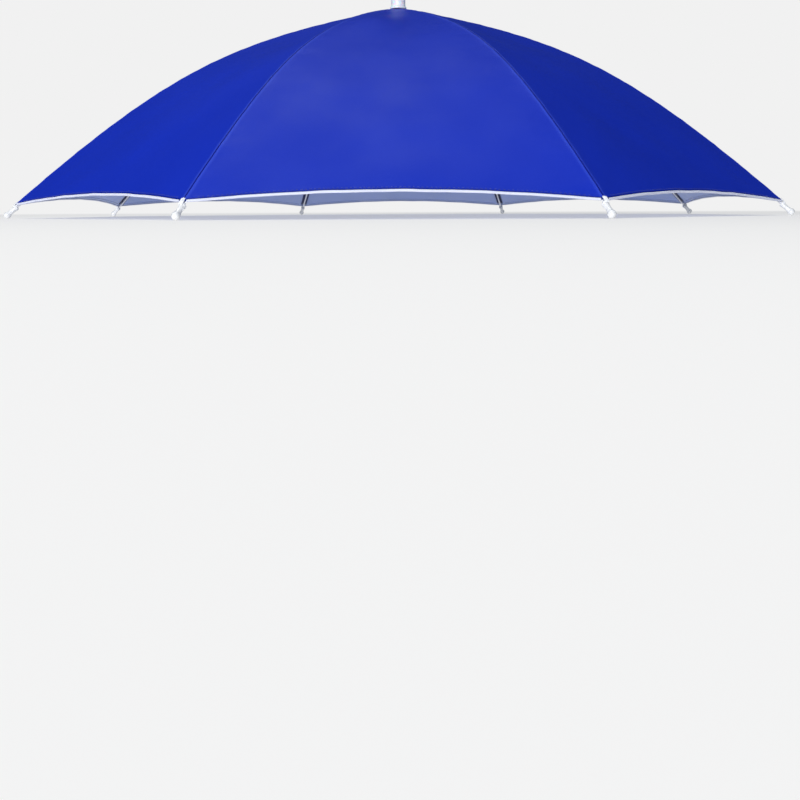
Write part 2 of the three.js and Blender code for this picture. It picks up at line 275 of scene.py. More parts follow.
class Shape:
    """Points and faces that are collected for one piece."""

    def __init__(self):
        self.points, self.faces, self.slots, self.count = [], [], [], 0

    def add(self, points, faces, slots=None):
        """Adds points and their faces, of the first material unless slots says otherwise."""
        points = np.asarray(points, float).reshape(-1, 3)
        self.points.append(points)
        self.faces.extend([[int(i) + self.count for i in face] for face in faces])
        self.slots.extend(slots or [0] * len(faces))
        self.count += len(points)
        return self

    def turn(self, angle):
        """Turns all the points so far about the Z axis."""
        self.points = [turned(points, angle) for points in self.points]

    def object(self, name, materials, record_slot, smooth=True, weld=False):
        """The piece as a Blender object that rides on the part."""
        mesh = bpy.data.meshes.new(name)
        mesh.from_pydata(np.concatenate(self.points).tolist(), [], self.faces)
        for material in materials:
            mesh.materials.append(material)
        mesh.polygons.foreach_set("material_index", self.slots)
        if weld:
            weld_mesh(mesh)
        mesh.polygons.foreach_set("use_smooth", [smooth] * len(mesh.polygons))
        mesh.update()
        piece = bpy.data.objects.new(name, mesh)
        bpy.context.scene.collection.objects.link(piece)
        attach(piece, ROOT)
        return piece


def weld_mesh(mesh):
    """Joins points that lie on each other, such as those at a turned piece's poles."""
    work = bmesh.new()
    work.from_mesh(mesh)
    bmesh.ops.remove_doubles(work, verts=work.verts, dist=1e-7)
    work.to_mesh(mesh)
    work.free()


def grid_faces(rows, columns, start=0, wrap=False, flip=False):
    """Quads of a grid of points, row by row. With wrap its last column joins the first."""
    width = columns if wrap else columns + 1
    i, j = np.meshgrid(np.arange(rows), np.arange(columns), indexing="ij")
    a = start + i * width + j
    b = start + i * width + (j + 1) % width
    quads = np.stack([a, b, b + width, a + width], -1).reshape(-1, 4)
    return quads[:, ::-1] if flip else quads


def sheet_faces(rows, columns):
    """Quads of a closed sheet: its outer grid, its inner grid and the four edges between them."""
    outer = grid_faces(rows, columns)
    count = (rows + 1) * (columns + 1)
    inner = grid_faces(rows, columns, count, flip=True)
    index = np.arange(count).reshape(rows + 1, columns + 1)
    edges = []
    for line in (index[:, 0], index[-1, :], index[::-1, -1], index[0, ::-1]):
        a, b = line[:-1], line[1:]
        edges.append(np.stack([a, b, b + count, a + count], -1))
    return outer, inner, np.concatenate(edges)


def ring_faces(steps, sides):
    """Quads of a closed ring whose section is a closed line of a few points."""
    faces = []
    for k in range(steps):
        for j in range(sides):
            a, b = k * sides + j, k * sides + (j + 1) % sides
            c, d = (b + sides) % (steps * sides), (a + sides) % (steps * sides)
            faces.append([a, b, c, d])
    return faces


def capped_faces(steps, sides):
    """Faces of a closed bar: quads along it and one face at each end."""
    faces = grid_faces(steps, sides, wrap=True).tolist()
    faces.append(list(range(sides))[::-1])
    faces.append([steps * sides + k for k in range(sides)])
    return faces


def frames_along(path):
    """Two unit directions square to a path, which turn as little as they can along it."""
    path = np.asarray(path, float)
    along = np.gradient(path, axis=0)
    along /= np.linalg.norm(along, axis=1)[:, None]
    start = np.array([0, 0, 1.0]) if abs(along[0, 2]) < 0.9 else np.array([1.0, 0, 0])
    first = start - along[0] * (start @ along[0])
    sides = [first / np.linalg.norm(first)]
    for direction in along[1:]:
        side = sides[-1] - direction * (sides[-1] @ direction)
        sides.append(side / np.linalg.norm(side))
    sides = np.array(sides)
    return sides, np.cross(along, sides)


def add_tube(shape, path, radius, sides):
    """A round bar along a path, with closed ends."""
    path = np.asarray(path, float)
    first, second = frames_along(path)
    angle = np.linspace(0, 2 * np.pi, sides, endpoint=False)[None, :, None]
    spokes = np.cos(angle) * first[:, None, :] + np.sin(angle) * second[:, None, :]
    shape.add(path[:, None, :] + radius * spokes, capped_faces(len(path) - 1, sides))


def add_turned(shape, profile, sides, place=None):
    """A piece turned about Z from pairs of radius and height, upwards on the outside."""
    profile = np.asarray(profile, float)
    angle = np.linspace(0, 2 * np.pi, sides, endpoint=False)
    radius, height = profile[:, 0][:, None], profile[:, 1][:, None]
    points = np.stack([radius * np.cos(angle), radius * np.sin(angle), height + 0 * angle], -1)
    if place is not None:
        points = placed(points, place)
    return shape.add(points, grid_faces(len(profile) - 1, sides, wrap=True))


def rounded(corners, radius, steps=4):
    """An open line of corners, each rounded off with a radius or as much of it as fits."""
    corners = [np.array(c, float) for c in corners]
    line = [corners[0]]
    for before, here, after in zip(corners, corners[1:], corners[2:]):
        back, ahead = before - here, after - here
        reach = min(radius, 0.45 * np.linalg.norm(back), 0.45 * np.linalg.norm(ahead))
        start = here + back / np.linalg.norm(back) * reach
        end = here + ahead / np.linalg.norm(ahead) * reach
        for t in np.linspace(0, 1, steps + 1):
            line.append((1 - t) ** 2 * start + 2 * t * (1 - t) * here + t * t * end)
    return [*line, corners[-1]]


class Look:
    """A procedural material in the making."""

    def __init__(self, name, color, roughness, **sockets):
        self.material = bpy.data.materials.new(name)
        self.material.use_nodes = True
        self.tree = self.material.node_tree
        self.shader = self.tree.nodes["Principled BSDF"]
        self.set("Base Color", (*color, 1.0))
        self.set("Roughness", roughness)
        for socket, value in sockets.items():
            self.set(socket.replace("_", " "), value)

    def set(self, socket, value):
        self.shader.inputs[socket].default_value = value

    def node(self, kind, inputs=None, **settings):
        made = self.tree.nodes.new(kind)
        for key, value in settings.items():
            setattr(made, key, value)
        for key, value in (inputs or {}).items():
            if isinstance(value, bpy.types.NodeSocket):
                self.tree.links.new(value, made.inputs[key])
            else:
                made.inputs[key].default_value = value
        return made

    def link(self, output, socket):
        self.tree.links.new(output, self.shader.inputs[socket])

    def math(self, operation, a, b):
        return self.node("ShaderNodeMath", {0: a, 1: b}, operation=operation).outputs[0]

    def place(self):
        return self.node("ShaderNodeTexCoord").outputs["Object"]

    def cloth_place(self):
        return self.node("ShaderNodeUVMap", uv_map="UVMap").outputs["UV"]

    def noise(self, place, scale, detail=3.0, roughness=0.5):
        return self.node(
            "ShaderNodeTexNoise",
            {"Vector": place, "Scale": scale, "Detail": detail, "Roughness": roughness},
        ).outputs["Fac"]

    def waves(self, place, pitch, direction):
        """Even waves from 0 to 1, a pitch apart."""
        return self.node(
            "ShaderNodeTexWave",
            {"Vector": place, "Scale": 2 * math.pi / (20 * pitch), "Distortion": 0.0},
            wave_type="BANDS",
            bands_direction=direction,
        ).outputs["Fac"]

    def ramp(self, value, low, high, to_low=0.0, to_high=1.0):
        return self.node(
            "ShaderNodeMapRange",
            {"Value": value, 1: low, 2: high, 3: to_low, 4: to_high},
            clamp=True,
        ).outputs[0]

    def mix(self, share, a, b):
        """A colour between two, as sockets or as plain colours."""
        made = self.tree.nodes.new("ShaderNodeMix")
        made.data_type = "RGBA"
        for socket, value in ((made.inputs[0], share), (made.inputs[6], a), (made.inputs[7], b)):
            if isinstance(value, bpy.types.NodeSocket):
                self.tree.links.new(value, socket)
            elif isinstance(value, (tuple, list)):
                socket.default_value = (*value, 1.0)
            else:
                socket.default_value = value
        return made.outputs[2]

    def bump(self, heights):
        """Bumps from pairs of a height socket and its depth in metres."""
        normal = None
        for height, depth in heights:
            inputs = {"Height": height, "Distance": depth, "Strength": 1.0}
            if normal is not None:
                inputs["Normal"] = normal
            normal = self.node("ShaderNodeBump", inputs).outputs["Normal"]
        self.link(normal, "Normal")


def weave_height(look, pitch):
    """A plain weave, from threads a pitch apart both ways."""
    place = look.cloth_place()
    return look.math("MULTIPLY", look.waves(place, pitch, "X"), look.waves(place, pitch, "Y"))


def cloth_outside_look():
    look = Look(
        "nylon_blue",
        (0.004, 0.020, 0.42),
        0.5,
        Specular_IOR_Level=0.08,
        Specular_Tint=(0.45, 1.0, 1.0, 1.0),
    )
    place = look.place()
    patches = look.ramp(look.noise(place, 9.0, 2.0), 0.3, 0.7)
    body = look.mix(patches, (0.004, 0.020, 0.385), (0.006, 0.024, 0.425))
    fine = look.ramp(look.noise(place, 900.0, 2.0), 0.25, 0.75, 0.0, 0.35)
    body = look.mix(fine, body, (0.008, 0.029, 0.46))
    seam = look.node("ShaderNodeAttribute", attribute_name="seam_gap").outputs["Fac"]
    # Lighter beside each seam: a painted highlight where the seam's ridge catches the light, with
    # some rubbed wear.
    seam_rub_and_highlight = look.ramp(seam, 0.9 * MM, 3.4 * MM, 0.42, 0.0)
    body = look.mix(seam_rub_and_highlight, body, (0.05, 0.10, 0.66))
    # Painted shade: darker along the middle of each seam, in its groove.
    body = look.mix(look.ramp(seam, 0.35 * MM, 1.0 * MM, 1.0, 0.0), body, (0.0, 0.003, 0.19))
    # Painted shade: darker in a narrow band just above the binding, where the cloth rolls over into
    # the hem.
    hem = look.node("ShaderNodeAttribute", attribute_name="hem_gap").outputs["Fac"]
    body = look.mix(look.ramp(hem, 0.4 * MM, 1.9 * MM, 0.85, 0.0), body, (0.001, 0.006, 0.10))
    look.link(body, "Base Color")
    look.link(look.ramp(look.noise(place, 30.0, 3.0), 0.3, 0.7, 0.42, 0.52), "Roughness")
    look.bump([(weave_height(look, WEAVE_PITCH), 0.03 * MM), (look.noise(place, 260.0), 0.05 * MM)])
    return look.material


def cloth_inside_look():
    # The blue in these colours of the silver coating is painted light: the blue that shines through
    # the cloth and bounces under the canopy.
    look = Look(
        "coating_silver",
        (0.38, 0.47, 0.78),
        0.45,
        Specular_IOR_Level=0.5,
        Subsurface_Weight=0.3,
        Subsurface_Radius=(0.5, 0.6, 1.0),
        Subsurface_Scale=0.6 * MM,
    )
    place = look.place()
    patches = look.ramp(look.noise(place, 22.0, 4.0), 0.3, 0.7)
    body = look.mix(patches, (0.36, 0.45, 0.75), (0.41, 0.50, 0.80))
    seam = look.node("ShaderNodeAttribute", attribute_name="seam_gap").outputs["Fac"]
    # Painted shade: darker towards each seam, beside its rib and seam strip.
    body = look.mix(look.ramp(seam, 3.0 * MM, 6.5 * MM, 0.5, 0.0), body, (0.30, 0.37, 0.60))
    look.link(body, "Base Color")
    look.link(look.ramp(look.noise(place, 55.0, 3.0), 0.3, 0.7, 0.38, 0.52), "Roughness")
    look.bump([(weave_height(look, WEAVE_PITCH), 0.03 * MM), (look.noise(place, 400.0), 0.04 * MM)])
    return look.material


def seam_strip_look():
    # The turned seam edges are the same blue cloth; their dark navy colours are painted shade under
    # the canopy.
    look = Look("seam_cloth_painted_shade", (0.003, 0.010, 0.085), 0.5, Sheen_Weight=0.2)
    place = look.place()
    body = look.mix(
        look.ramp(look.noise(place, 60.0), 0.3, 0.7), (0.002, 0.008, 0.07), (0.005, 0.014, 0.12)
    )
    look.link(body, "Base Color")
    look.bump([(weave_height(look, 0.5 * MM), 0.05 * MM)])
    return look.material


def binding_look():
    look = Look("binding_white", (0.86, 0.87, 0.90), 0.7, Sheen_Weight=0.15)
    place = look.place()
    body = look.mix(
        look.ramp(look.noise(place, 45.0, 4.0), 0.3, 0.75), (0.70, 0.73, 0.88), (0.62, 0.65, 0.82)
    )
    look.link(body, "Base Color")
    threads = look.waves(look.cloth_place(), 0.5 * MM, "X")
    look.bump([(threads, 0.08 * MM), (look.noise(place, 1500.0), 0.04 * MM)])
    return look.material


def thread_look(name, dark, light):
    look = Look(name, light, 0.6, Sheen_Weight=0.2)
    place = look.place()
    look.link(look.mix(look.ramp(look.noise(place, 900.0), 0.3, 0.7), dark, light), "Base Color")
    look.bump([(look.waves(place, 0.35 * MM, "DIAGONAL"), 0.04 * MM)])
    return look.material


def plastic_look(name, color, roughness, **sockets):
    look = Look(name, color, roughness, **sockets)
    place = look.place()
    shade = tuple(0.93 * part for part in color)
    body = look.mix(look.ramp(look.noise(place, 70.0, 4.0), 0.35, 0.75), color, shade)
    # Darker in the hollows, where pointiness is low: painted shade, with some grime.
    edges = look.node("ShaderNodeNewGeometry").outputs["Pointiness"]
    hollow_grime_and_shade = look.ramp(edges, 0.40, 0.49, 0.45, 0.0)
    body = look.mix(hollow_grime_and_shade, body, tuple(0.62 * part for part in color))
    look.link(body, "Base Color")
    scuffs = look.noise(place, 420.0, 5.0, 0.6)
    look.link(look.ramp(scuffs, 0.3, 0.75, roughness - 0.07, roughness + 0.10), "Roughness")
    look.bump([(scuffs, 0.03 * MM)])
    return look.material


def wire_look():
    look = Look("wire_bright", (0.86, 0.87, 0.90), 0.33, Metallic=0.15)
    place = look.place()
    streaks = look.noise(place, 240.0, 5.0, 0.65)
    body = look.mix(look.ramp(streaks, 0.35, 0.8), (0.92, 0.92, 0.95), (0.76, 0.77, 0.81))
    look.link(body, "Base Color")
    look.link(look.ramp(streaks, 0.3, 0.7, 0.26, 0.44), "Roughness")
    look.bump([(streaks, 0.02 * MM)])
    return look.material


def elastic_look():
    look = Look("elastic_knit", (0.80, 0.80, 0.82), 0.85, Sheen_Weight=0.3)
    place = look.place()
    body = look.mix(
        look.ramp(look.noise(place, 90.0, 4.0), 0.3, 0.7), (0.84, 0.84, 0.86), (0.70, 0.70, 0.73)
    )
    look.link(body, "Base Color")
    rows = look.waves(look.cloth_place(), 0.8 * MM, "Y")
    look.bump([(rows, 0.12 * MM), (look.noise(place, 1400.0), 0.06 * MM)])
    return look.material


def floor_look():
    """Pale and lit from below. Away from the hat it fades into the backdrop's own brightness."""
    look = Look("floor_pale", FLOOR_COLOR, 0.9, Specular_IOR_Level=0.0)
    distance = look.node("ShaderNodeVectorMath", {0: look.place()}, operation="LENGTH")
    far = look.ramp(distance.outputs["Value"], *FLOOR_FADE)
    look.link(look.mix(far, FLOOR_COLOR, (0.0, 0.0, 0.0)), "Base Color")
    look.set("Emission Color", WHITE)
    look.link(look.ramp(far, 0.0, 1.0, FLOOR_GLOW, BACKDROP), "Emission Strength")
    return look.material


def set_floats(mesh, name, values):
    """Gives each point of a mesh a number that its material can read."""
    mesh.attributes.new(name, "FLOAT", "POINT").data.foreach_set(
        "value", np.asarray(values, np.float32).ravel()
    )


def set_uv(mesh, across, along):
    """Lays a map in metres over a mesh, from two values for each of its points."""
    layer = mesh.uv_layers.new(name="UVMap")
    corners = np.empty(len(mesh.loops), np.int32)
    mesh.loops.foreach_get("vertex_index", corners)
    pairs = np.stack([np.ravel(across), np.ravel(along)], -1)[corners]
    layer.data.foreach_set("uv", pairs.astype(np.float32).ravel())


def seam_puckers(seam, radius):
    """Small waves along a seam, the same for the two panels that it joins."""
    draw = np.random.default_rng(100 + seam)
    total = 0 * radius
    for wave in SEAM_PUCKERS:
        phase = draw.uniform(0, 2 * np.pi)
        total += wave["height"] * np.sin(2 * np.pi * radius / wave["length"] + phase)
    return total


def hump(distance, height, reach):
    """A soft ridge or groove that is highest or deepest where the distance is 0."""
    return height * np.exp(-((distance / reach) ** 2))


def cloth_relief(panel, radius, across):
    """How far the cloth stands proud of the smooth panel: its seams, hem and creases."""
    draw = np.random.default_rng(panel)
    width = radius * math.sin(HALF)
    seam_gap = width * (1 - np.abs(across))
    hem_gap = hem_distance(radius, across)
    between = 1 - across**2

    relief = hump(seam_gap, **SEAM_SWELL) + hump(seam_gap, **SEAM_GROOVE)
    fade = np.exp(-seam_gap / PUCKER_REACH) * (1 - np.exp(-seam_gap / PUCKER_START))
    before, after = seam_puckers((panel - 2) % PANELS + 1, radius), seam_puckers(panel, radius)
    relief += np.where(across > 0, before, after) * fade
    relief *= np.clip(width / NARROW, 0, 1)

    sideways = across * width
    off_hem = 1 - np.exp(-np.maximum(hem_gap, 0) / HEM_WAVE_REACH)
    for swell in SWELLS:
        lean, phase, cross_phase = draw.uniform(0, 2 * np.pi, 3)
        run = sideways * math.cos(lean) + radius * math.sin(lean)
        cross = radius * math.cos(lean) - sideways * math.sin(lean)
        wave = np.sin(2 * np.pi * run / swell["length"] + phase)
        wave *= np.sin(2 * np.pi * cross / (SWELL_STRETCH * swell["length"]) + cross_phase)
        relief += swell["height"] * wave * between * off_hem

    for side in (-1, 1):
        off_seam = np.maximum(width * (1 - side * across), 1e-9)
        off_corner = np.maximum((CANOPY_RADIUS - radius) / math.cos(END_ANGLE), 1e-9)
        reach = np.hypot(off_seam, off_corner) / CORNER_RAY_REACH
        turn = np.arctan2(off_seam, off_corner) / (math.pi / 2 - HALF)
        phase = draw.uniform(0, 2 * np.pi)
        ray = np.sin(CORNER_RAYS * 2 * turn + phase) * np.sin(np.pi * np.clip(turn, 0, 1))
        relief += CORNER_RAY_HEIGHT * ray * reach * np.exp(1 - reach) * off_hem

    hem_fade = (1 - off_hem) * between
    for wave in HEM_WAVES:
        phase = draw.uniform(0, 2 * np.pi)
        relief += wave["height"] * np.sin(2 * np.pi * sideways / wave["length"] + phase) * hem_fade

    pleat_fade = np.exp(-np.maximum(radius - CROWN_HOLE_RADIUS, 0) / CROWN_PLEAT_REACH)
    pleat_fade = pleat_fade * smoothstep(radius / CROWN_PLEAT_RISE - 0.5)
    relief += CROWN_PLEAT_HEIGHT * np.cos(CROWN_PLEATS * np.pi * across) * pleat_fade * between

    relief += HEM_STEP_HEIGHT * smoothstep((HEM_FOLD - hem_gap) / HEM_STEP_WIDTH)
    return relief + hump(hem_gap - STITCH_GAP, **STITCH_GROOVE)


def panel_grid():
    """Radius and place across of a panel's grid, closer together at its seams and its hem."""
    seam_end = CANOPY_RADIUS - HEM_ROWS[0]
    rows = np.linspace(0, 1, MAIN_ROWS)
    radii, acrosses = [], []
    for i in range(MAIN_ROWS + len(HEM_ROWS) - 1):
        on_seam = CROWN_HOLE_RADIUS + (seam_end - CROWN_HOLE_RADIUS) * rows[min(i, MAIN_ROWS - 1)]
        if i >= MAIN_ROWS:
            on_seam = CANOPY_RADIUS - HEM_ROWS[i - MAIN_ROWS + 1]
        width = on_seam * math.sin(HALF)
        offsets = SEAM_COLUMNS * min(1, 0.5 * width / SEAM_COLUMNS[-1])
        inner = np.linspace(offsets[-1], 2 * width - offsets[-1], MIDDLE_COLUMNS + 1)[1:-1]
        places = np.concatenate([offsets, inner, (2 * width - offsets)[::-1]])
        across = places / width - 1
        hem = hem_radius(across)
        if i < MAIN_ROWS:
            inside = hem - HEM_ROWS[0] * math.cos(END_ANGLE)
            radius = CROWN_HOLE_RADIUS + (inside - CROWN_HOLE_RADIUS) * rows[i]
        else:
            radius = hem - HEM_ROWS[i - MAIN_ROWS + 1] * math.cos(END_ANGLE)
        radii.append(radius)
        acrosses.append(across)
    radius, across = np.array(radii), np.array(acrosses)
    radius[-1] += HEM_IN_BINDING
    return radius, across


def make_panel(number, outside, inside):
    """A closed sheet of cloth between two ribs, with its hem turned up."""
    radius, across = panel_grid()
    relief = cloth_relief(number, radius, across)
    hem_gap = hem_distance(radius, across)
    fold_thickness, fold_edge = 0.35 * MM, 0.5 * MM
    before_hem = hem_gap > -0.1 * MM
    turned_up = fold_thickness * smoothstep((HEM_FOLD - hem_gap) / fold_edge) * before_hem
    outer = panel_points(number, radius, across, -relief)
    inner = panel_points(number, radius, across, CLOTH_THICKNESS + turned_up - relief)
    outer_faces, inner_faces, edge_faces = sheet_faces(radius.shape[0] - 1, radius.shape[1] - 1)
    faces = np.concatenate([outer_faces, inner_faces, edge_faces])
    slots = [0] * len(outer_faces) + [1] * len(inner_faces) + [0] * len(edge_faces)
    piece = Shape().add(both_faces(outer, inner), faces, slots).object(
        f"cloth_panel_{number}", [outside, inside], "canopy_cloth"
    )
    seam_gap = radius * math.sin(HALF) * (1 - np.abs(across))
    set_floats(piece.data, "seam_gap", np.stack([seam_gap, seam_gap]))
    set_floats(piece.data, "hem_gap", np.stack([hem_gap, hem_gap]))
    sideways = across * radius * math.sin(HALF)
    set_uv(piece.data, np.stack([sideways, sideways]), np.stack([radius, radius]) * SLANT)
    area = sum(polygon.area for polygon in piece.data.polygons) / 2
    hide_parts(f"canopy_panel_{number}")
    return piece, area


def make_binding(number, look):
    """The white edging: a folded tape with the cloth's hem in it."""
    steps = 420
    ripple_depth = 0.05
    # The folded tape's section: how far past the hem, and how deep under the cloth's outer face
    section = np.array(
        [
            (0.1, -0.24), (0.35, -0.42), (0.8, -0.46), (1.3, -0.36), (1.68, -0.06), (1.8, 0.3),
            (1.68, 0.68), (1.3, 0.96), (0.8, 1.06), (0.35, 1.02), (0.1, 0.9),
            (1.0, 0.84), (1.0, -0.1),
        ]
    ) * MM
    count = len(section)
    across = np.linspace(-BOUND, BOUND, steps + 1)
    hem = hem_radius(across)[:, None]
    ripple = 1 + ripple_depth * np.cos(np.pi * np.arange(steps + 1))[:, None]
    middle = section.mean(0)
    past = (middle[0] + (section[:, 0] - middle[0]) * ripple) * math.cos(END_ANGLE)
    depth = middle[1] + (section[:, 1] - middle[1]) * ripple
    spread = np.broadcast_to(across[:, None], past.shape)
    relief = cloth_relief(number, hem + 0 * past, spread)
    points = panel_points(number, hem + past, spread, depth - relief)
    faces = [face[::-1] for face in capped_faces(steps, count)]
    piece = Shape().add(points, faces).object(f"hem_binding_{number}", [look], "hem_edging")
    along = np.repeat(across * HEM_HALF_WIDTH, count)
    tape_width = 6 * MM
    set_uv(piece.data, along, np.tile(np.linspace(0, tape_width, count), steps + 1))
    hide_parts(f"hem_edging_{number}")
    return piece


def make_stitches(number, look):
    """A row of stitches along the hem, on both faces of the cloth."""
    shape = Shape()
    arch = np.array([-0.25, 0.12, 0.2, 0.12, -0.25]) * MM
    row_share = 0.955  # of the hem's width
    count = int(2 * HEM_HALF_WIDTH * row_share / STITCH_PITCH)
    for k in range(count):
        middle = (k - (count - 1) / 2) * STITCH_PITCH
        place = middle + np.linspace(-0.5, 0.5, len(arch)) * STITCH_LENGTH
        across = place / HEM_HALF_WIDTH
        radius = hem_radius(across) - STITCH_GAP * math.cos(END_ANGLE)
        relief = cloth_relief(number, radius, across)
        for depth, side in ((0.0, -1), (CLOTH_THICKNESS + 0.33 * MM, 1)):
            path = panel_points(number, radius, across, depth - relief + side * arch)
            add_tube(shape, path, STITCH_RADIUS, sides=5)
    return shape.object(f"hem_stitches_{number}", [look], "canopy_cloth")


def make_seam_strip(number, look):
    """The seam's two turned edges under the cloth, along a rib."""
    steps, columns = 110, 8
    start, end = 16 * MM, CANOPY_RADIUS - 3 * MM
    thickness, lift, ridge = 0.36 * MM, 0.12 * MM, 0.22 * MM
    radius = np.linspace(start, end, steps + 1)[:, None]
    side = np.linspace(-1, 1, columns + 1)[None, :]
    half_width = SEAM_STRIP_WIDTH / 2 * (1 + 0.05 * np.sin(radius / (7 * MM)))
    half_width = half_width * smoothstep(0.35 + radius / (60 * MM))
    sideways = side * half_width
    puckers = 0.6 * seam_puckers(number, radius) * np.abs(side)
    # Beside the rib the two panels fall away, so the strip's edges do too.
    fall = np.abs(sideways) * math.tan(HALF) * np.sin(rib_angle(radius))
    top = CLOTH_THICKNESS + lift + ridge * (1 - np.abs(side)) - puckers + fall

    def face(depth):
        out, up = rib_point(radius + 0 * side, depth)
        return np.stack([out, sideways, up], -1)

    points = turned(both_faces(face(top), face(top + thickness)), rib_azimuth(number))
    faces = np.concatenate(sheet_faces(steps, columns))[:, ::-1]
    piece = Shape().add(points, faces).object(f"seam_strip_{number}", [look], "canopy_cloth")
    set_uv(piece.data, np.stack([sideways, sideways]), np.stack([radius + 0 * side] * 2))
    return piece


def make_rib(number, look):
    """A rib's bent wire."""
    shape = Shape()
    out, up = rib_point(np.linspace(RIB_START, RIB_END, 90), RIB_DEPTH)
    path = turned(np.stack([out, 0 * out, up], -1), rib_azimuth(number))
    add_tube(shape, path, RIB_RADIUS, sides=12)
    piece = shape.object(f"rib_wire_{number}", [look], "rib_steel")
    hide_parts(f"rib_{number}")


def on_rib_end(number):
    """The matrix from a tip's own axis, +Z outwards from the fabric corner, to its place."""
    out, up = rib_point(CANOPY_RADIUS, RIB_DEPTH)
    return (
        Matrix.Rotation(rib_azimuth(number), 4, "Z")
        @ Matrix.Translation((float(out), 0, float(up)))
        @ Matrix.Rotation(math.pi / 2 + END_ANGLE, 4, "Y")
    )


def make_tip(number, look):
    """A rib tip: a slim sleeve over the rib's end that swells into a ball."""
    sleeve_start, sleeve_end, bore_end = 0.8 * MM, 4.2 * MM, 4.2 * MM
    ball = [
        (TIP_BALL_RADIUS * math.cos(a), TIP_REACH + TIP_BALL_RADIUS * math.sin(a))
        for a in np.linspace(-0.62, math.pi / 2, 16)
    ]
    outside = rounded(
        [
            (BORE_RADIUS, 2.5 * MM), (BORE_RADIUS, sleeve_start), (SLEEVE_RADIUS, sleeve_start),
            (SLEEVE_RADIUS, sleeve_end), (1.75 * MM, 6.0 * MM), (1.92 * MM, 8.2 * MM), ball[0],
        ],
        1.1 * MM,
    )
    profile = [(0, bore_end), (BORE_RADIUS, bore_end), *outside, *ball[1:]]
    shape = add_turned(Shape(), profile, sides=32, place=on_rib_end(number))
    piece = shape.object(f"tip_moulding_{number}", [look], "white_plastic", weld=True)
    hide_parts(f"rib_tip_{number}")


def make_tip_thread(number, look):
    """White thread that ties a fabric corner to its tip: turns, long stitches and two loops."""
    shape = Shape()
    place = on_rib_end(number)
    turns, pitch, coil_thread = 3, 0.42 * MM, 0.22 * MM
    angle = np.linspace(0, 2 * np.pi * turns, 26 * turns)
    coil_radius = SLEEVE_RADIUS + 0.16 * MM
    height = 1.5 * MM + pitch * angle / (2 * np.pi)
    coil = np.stack([coil_radius * np.cos(angle), coil_radius * np.sin(angle), height], -1)
    add_tube(shape, placed(coil, place), coil_thread, sides=6)

    # Long stitches over the corner, side by side
    lanes, lane_thread, lane_fall = 7, 0.27 * MM, 0.32
    run = np.linspace(0, 1, 9)
    radius = CANOPY_RADIUS - 2.2 * MM + run * 5.0 * MM
    depth = -0.34 * MM + 0.5 * MM * run**2 - 0.2 * MM * np.sin(np.pi * run)
    depth[0] = 0.2 * MM
    out, up = rib_point(radius, depth)
    for lane in np.linspace(-1, 1, lanes):
        sideways = lane * (1.2 * MM + 0.25 * MM * np.sin(np.pi * run))
        path = np.stack([out, sideways, up - np.abs(sideways) * lane_fall], -1)
        add_tube(shape, turned(path, rib_azimuth(number)), lane_thread, sides=6)

    # A loop from the end of each hem's binding to the side of the tip
    loop_thread = 0.38 * MM
    share = run[:, None]
    for panel, side in ((number, 1), (number % PANELS + 1, -1)):
        start = panel_points(panel, hem_radius(BOUND) + 0.7 * MM, -side * BOUND, 0.3 * MM)
        bend = placed((0.2 * MM, side * 3.3 * MM, 2.4 * MM), place)
        end = placed((0.5 * MM, side * 1.4 * MM, 6.2 * MM), place)
        path = (1 - share) ** 2 * start + 2 * share * (1 - share) * bend + share**2 * end
        add_tube(shape, path, loop_thread, sides=8)
    shape.object(f"tip_thread_{number}", [look], "hem_edging")


def stretcher_line():
    """Both ends of a stretcher's line, from the CAD runner's flange to the clevis."""
    pad_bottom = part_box("runner")[0].z
    out, up = rib_point(CLEVIS_RADIUS, RIB_DEPTH)
    start = np.array([STRETCHER_START, 0, pad_bottom + FLANGE_ABOVE_PAD])
    end = np.array([float(out), 0, float(up) - CLEVIS_DROP + STRETCHER_RADIUS])
    return start, end


def make_stretcher(number, look):
    """A stretcher wire with a pressed clevis that straddles the rib, and its rivet."""
    shape = Shape()
    start, end = stretcher_line()
    share = np.linspace(0, 1, 12)[:, None]
    add_tube(shape, start + (end - start) * share, STRETCHER_RADIUS, sides=12)

    half, slot = BORE_RADIUS + CLEVIS_WALL, BORE_RADIUS
    section = rounded(
        [
            (-slot, 0), (-half, 0), (-half, -CLEVIS_DROP), (half, -CLEVIS_DROP),
            (half, 0), (slot, 0), (slot, -slot), (-slot, -slot), (-slot, 0),
        ],
        0.45 * MM,
        steps=3,
    )
    section = np.array(section[:-1])
    stations = CLEVIS_LENGTH / 2 * np.array([-1, -0.96, -0.9, 0, 0.9, 0.96, 1])
    shrink = np.array([0.88, 0.96, 1, 1, 1, 0.96, 0.88])
    centre = np.array([0, -CLEVIS_DROP / 2])
    rings = []
    for station, size in zip(stations, shrink):
        ring = centre + (section - centre) * size
        rings.append(np.stack([station + 0 * ring[:, 0], ring[:, 0], ring[:, 1]], -1))
    out, up = rib_point(CLEVIS_RADIUS, RIB_DEPTH)
    clevis = Matrix.Translation((float(out), 0, float(up)))
    clevis = clevis @ Matrix.Rotation(float(rib_angle(CLEVIS_RADIUS)), 4, "Y")
    shape.add(placed(rings, clevis), capped_faces(len(stations) - 1, len(section)))

    rivet = [(0, 0), (0.95 * MM, 0), (0.95 * MM, 0.2 * MM), (0.7 * MM, 0.42 * MM), (0, 0.5 * MM)]
    for side in (-1, 1):
        on_wall = Matrix.Translation((2.2 * MM, side * half, -2.5 * MM))
        place = clevis @ on_wall @ Matrix.Rotation(-side * math.pi / 2, 4, "X")
        add_turned(shape, rivet, sides=14, place=place)
    shape.turn(rib_azimuth(number))
    piece = shape.object(f"stretcher_wire_{number}", [look], "rib_steel", weld=True)
    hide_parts(f"stretcher_{number}")


